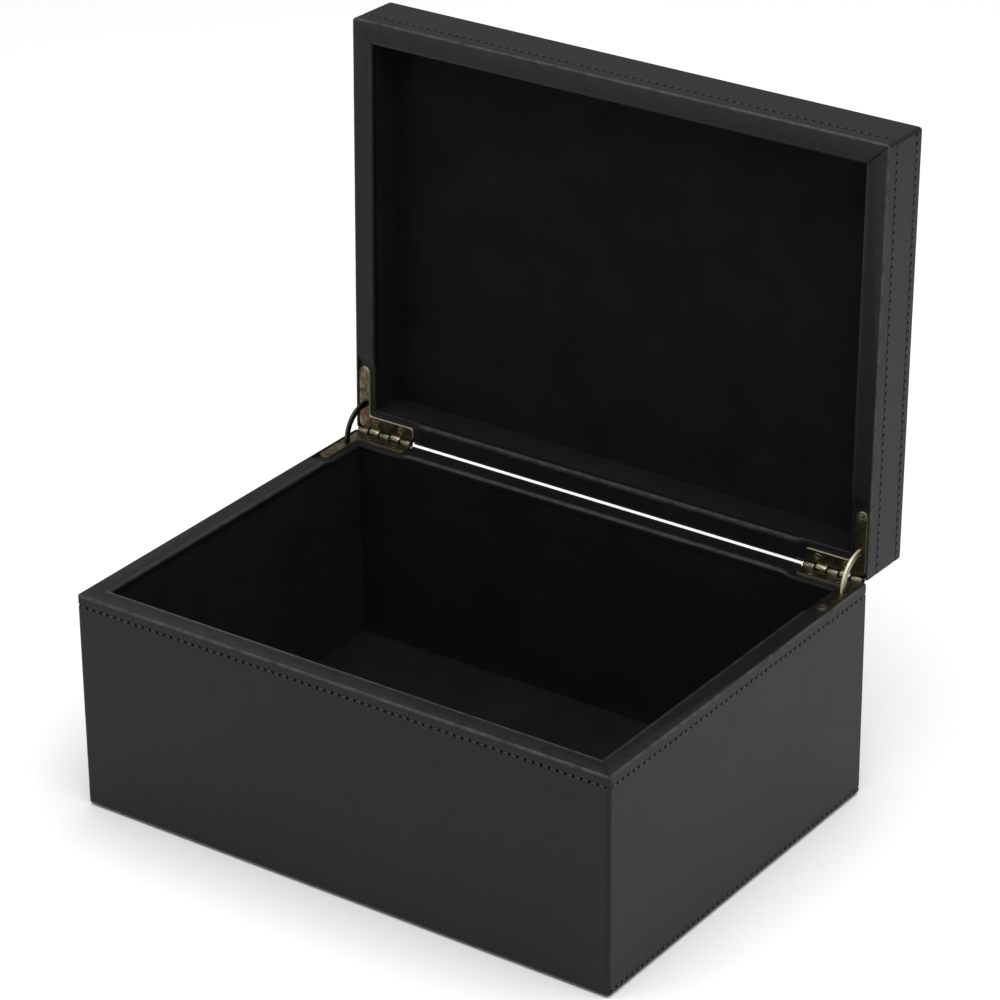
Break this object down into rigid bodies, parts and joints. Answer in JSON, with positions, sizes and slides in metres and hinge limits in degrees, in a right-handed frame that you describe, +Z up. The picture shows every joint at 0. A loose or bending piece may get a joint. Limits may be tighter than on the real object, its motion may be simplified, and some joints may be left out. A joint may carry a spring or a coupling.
{
  "type": "stationery box",
  "caption": "Leather-covered box for papers, lined in suede, with a lid that stands open on two brass quadrant stay hinges.",
  "frame": {"origin": "centre of the underside, on the surface that the box stands on", "axes": "+X to the right along the long side seen from the front, +Y to the back where the lid is hinged, +Z up"},
  "size_m": [0.33, 0.2794, 0.3649],
  "materials": {
    "board": "raw fibreboard",
    "black_leather": "grained, satin",
    "black_suede": "matt suede",
    "antique_brass": "antique, brushed"
  },
  "bodies": {
    "base": {"base_bottom_board": "board", "base_front_board": "board", "base_back_board": "board", "base_left_board": "board", "base_right_board": "board", "base_leather_wrap": "black_leather", "base_bottom_pad": "black_suede", "base_floor_lining": "black_suede", "base_front_lining": "black_suede", "base_back_lining": "black_suede", "base_left_lining": "black_suede", "base_right_lining": "black_suede", "left_base_leaf": "antique_brass", "right_base_leaf": "antique_brass", "left_hinge_pin": "antique_brass", "right_hinge_pin": "antique_brass", "base_hinge_screws": "antique_brass"},
    "lid": {"lid_top_board": "board", "lid_front_board": "board", "lid_back_board": "board", "lid_left_board": "board", "lid_right_board": "board", "lid_leather_wrap": "black_leather", "lid_top_leather": "black_leather", "lid_top_lining": "black_suede", "lid_front_lining": "black_suede", "lid_back_lining": "black_suede", "lid_left_lining": "black_suede", "lid_right_lining": "black_suede", "left_lid_leaf": "antique_brass", "right_lid_leaf": "antique_brass", "lid_hinge_screws": "antique_brass"},
    "left_arm": {"left_quadrant_arm": "antique_brass"},
    "right_arm": {"right_quadrant_arm": "antique_brass"}
  },
  "joints": [
    {"name": "lid_hinge", "type": "hinge", "parent": "base", "child": "lid", "pos_m": [0, 0.12, 0.12525], "axis": [1, 0, 0], "range_deg": [0, 91.3]},
    {"name": "left_arm_swing", "type": "hinge", "parent": "base", "child": "left_arm", "pos_m": [0, 0.12, 0.12525], "axis": [1, 0, 0], "range_deg": [0, 45.65]},
    {"name": "right_arm_swing", "type": "hinge", "parent": "base", "child": "right_arm", "pos_m": [0, 0.12, 0.12525], "axis": [1, 0, 0], "range_deg": [0, 45.65]}
  ],
  "couplings": [
    {"joint": "left_arm_swing", "follows": "lid_hinge", "ratio": 0.5},
    {"joint": "right_arm_swing", "follows": "lid_hinge", "ratio": 0.5}
  ]
}
